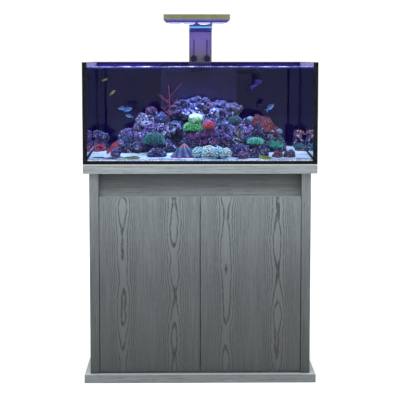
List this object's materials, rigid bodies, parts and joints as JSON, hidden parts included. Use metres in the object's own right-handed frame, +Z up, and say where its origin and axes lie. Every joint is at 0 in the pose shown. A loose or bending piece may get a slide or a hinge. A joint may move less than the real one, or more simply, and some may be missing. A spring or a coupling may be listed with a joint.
{
  "type": "aquarium on stand",
  "caption": "Rimless rectangular reef aquarium on a grey wood cabinet with inset doors, rear weir, sump, and a clamped overhead light on a height-adjustable arm.",
  "frame": {"origin": "on the floor under the centre of the plinth", "axes": "+Z up, -Y towards the front (the doors and viewing pane), +X to the viewer's right"},
  "size_m": [0.9, 0.646, 1.433],
  "materials": {
    "oak_grey": "matt, embossed grain",
    "plinth_grey": "matt, embossed grain",
    "bumper": "clear, soft",
    "hinge_steel": "nickel plated",
    "mat_foam": "closed-cell foam",
    "tank_glass": "polished",
    "silicone": "glossy black",
    "background": "black film",
    "weir_acrylic": "gloss black",
    "pvc_dark": "black",
    "pvc_grey": "grey",
    "valve_red": "moulded",
    "sand": "fine grains",
    "reef_rock": "rough, encrusted",
    "sump_acrylic": "polished",
    "shelf_plastic": "satin",
    "sock_felt": "felt",
    "ring_plastic": "moulded",
    "pump_body": "moulded",
    "skimmer_clear": "clear acrylic",
    "arm_aluminium": "anodised",
    "clamp_aluminium": "anodised",
    "pad_rubber": "soft",
    "knob_plastic": "moulded",
    "light_shell": "anodised",
    "light_tray": "satin",
    "lens": "clear, lit",
    "board": "white solder mask",
    "fins": "bare"
  },
  "bodies": {
    "cabinet": {"plinth": "plinth_grey", "left_side_panel": "oak_grey", "right_side_panel": "oak_grey", "rear_panel": "oak_grey", "top_panel": "oak_grey", "fascia_rail": "oak_grey", "bottom_rail": "oak_grey", "door_bumpers": "bumper", "left_hinge_arms": "hinge_steel", "right_hinge_arms": "hinge_steel", "levelling_mat": "mat_foam", "front_glass": "tank_glass", "rear_glass": "tank_glass", "left_glass": "tank_glass", "right_glass": "tank_glass", "base_glass": "tank_glass", "silicone_seams": "silicone", "background_sheet": "background", "weir_box": "weir_acrylic", "bulkheads": "pvc_dark", "bulkhead_nuts": "pvc_dark", "drain_standpipes": "pvc_dark", "return_riser": "pvc_dark", "sand_bed": "sand", "rock_left": "reef_rock", "rock_centre": "reef_rock", "rock_right": "reef_rock", "reef_rubble": "reef_rock", "sump_glass": "sump_acrylic", "sump_baffles": "sump_acrylic", "sock_holder": "shelf_plastic", "drain_pipes": "pvc_grey", "drain_valve": "pvc_grey", "return_pump": "pump_body", "return_pipe": "pvc_grey", "skimmer_body": "skimmer_clear", "glass_clamp": "clamp_aluminium", "clamp_pads": "pad_rubber"},
    "left_door": {"left_door": "oak_grey", "left_hinge_cups": "hinge_steel"},
    "right_door": {"right_door": "oak_grey", "right_hinge_cups": "hinge_steel"},
    "light": {"arm_upright": "arm_aluminium", "arm_bracket": "arm_aluminium", "light_housing": "light_tray", "light_cover": "light_shell", "light_lenses": "lens", "led_board": "board", "heat_sink": "fins"},
    "fan": {"fan_rotor": "knob_plastic"},
    "left_knob": {"left_locking_knob": "knob_plastic"},
    "right_knob": {"right_locking_knob": "knob_plastic"},
    "left_screw": {"left_clamp_screw": "knob_plastic"},
    "right_screw": {"right_clamp_screw": "knob_plastic"},
    "comb": {"weir_comb": "weir_acrylic"},
    "nozzle": {"return_nozzle": "pvc_dark"},
    "sock": {"filter_sock": "sock_felt", "sock_ring": "ring_plastic"},
    "cup": {"skimmer_cup": "skimmer_clear"},
    "handle": {"valve_handle": "valve_red"}
  },
  "joints": [
    {"name": "left_door_hinge", "type": "hinge", "parent": "cabinet", "child": "left_door", "pos_m": [-0.39, -0.278, 0.383], "axis": [0, 0, -1], "range_deg": [0, 105]},
    {"name": "right_door_hinge", "type": "hinge", "parent": "cabinet", "child": "right_door", "pos_m": [0.39, -0.278, 0.383], "axis": [0, 0, 1], "range_deg": [0, 105]},
    {"name": "light_height", "type": "slide", "parent": "cabinet", "child": "light", "axis": [0, 0, 1], "range_m": [-0.07, 0]},
    {"name": "fan_spin", "type": "hinge", "parent": "light", "child": "fan", "pos_m": [-0.011, 0, 1.42], "axis": [0, 0, 1], "continuous": true},
    {"name": "left_knob_turn", "type": "hinge", "parent": "cabinet", "child": "left_knob", "pos_m": [-0.02, 0.26, 1.258], "axis": [0, 1, 0], "continuous": true},
    {"name": "right_knob_turn", "type": "hinge", "parent": "cabinet", "child": "right_knob", "pos_m": [0.036, 0.26, 1.258], "axis": [0, 1, 0], "continuous": true},
    {"name": "left_screw_turn", "type": "hinge", "parent": "cabinet", "child": "left_screw", "pos_m": [-0.026, 0.32, 1.23], "axis": [0, 1, 0], "continuous": true},
    {"name": "right_screw_turn", "type": "hinge", "parent": "cabinet", "child": "right_screw", "pos_m": [0.042, 0.32, 1.23], "axis": [0, 1, 0], "continuous": true},
    {"name": "comb_lift", "type": "slide", "parent": "cabinet", "child": "comb", "axis": [0, 0, 1], "range_m": [0, 0.08]},
    {"name": "nozzle_swivel", "type": "hinge", "parent": "cabinet", "child": "nozzle", "pos_m": [0.25, 0.222, 1.165], "axis": [0, 0, 1], "range_deg": [-30, 30]},
    {"name": "sock_lift", "type": "slide", "parent": "cabinet", "child": "sock", "axis": [0, 0, 1], "range_m": [0, 0.12]},
    {"name": "cup_lift", "type": "slide", "parent": "cabinet", "child": "cup", "axis": [0, 0, 1], "range_m": [0, 0.08]},
    {"name": "valve_turn", "type": "hinge", "parent": "cabinet", "child": "handle", "pos_m": [-0.115, 0.18, 0.64], "axis": [0, 1, 0], "range_deg": [0, 90]}
  ]
}
